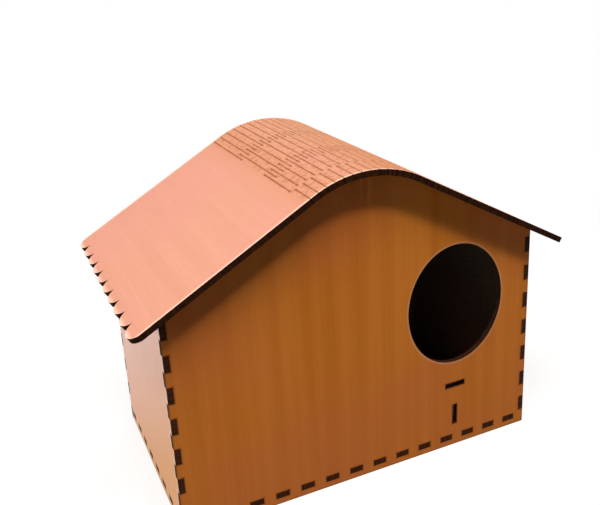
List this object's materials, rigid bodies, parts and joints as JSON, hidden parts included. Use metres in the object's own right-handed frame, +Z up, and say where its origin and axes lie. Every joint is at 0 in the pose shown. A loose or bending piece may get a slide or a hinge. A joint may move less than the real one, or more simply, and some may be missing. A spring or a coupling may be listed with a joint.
{
  "type": "bird nest box",
  "caption": "Gabled bird nest box of finger-jointed board, with an oval entrance, perch slots, and a roof sheet bent over a slitted ridge with scalloped eaves.",
  "frame": {"origin": "middle of the plan at the level of the bottom edges of the walls", "axes": "+X to the right as seen from the front, +Y from the entrance side to the back, +Z up"},
  "size_m": [0.2316, 0.1324, 0.1681],
  "materials": {
    "veneered_board": "satin veneer with charred cut edges"
  },
  "bodies": {
    "root": {"front_panel": "veneered_board", "back_panel": "veneered_board", "left_wall": "veneered_board", "right_wall": "veneered_board", "floor_panel": "veneered_board", "roof_sheet": "veneered_board"}
  },
  "joints": []
}
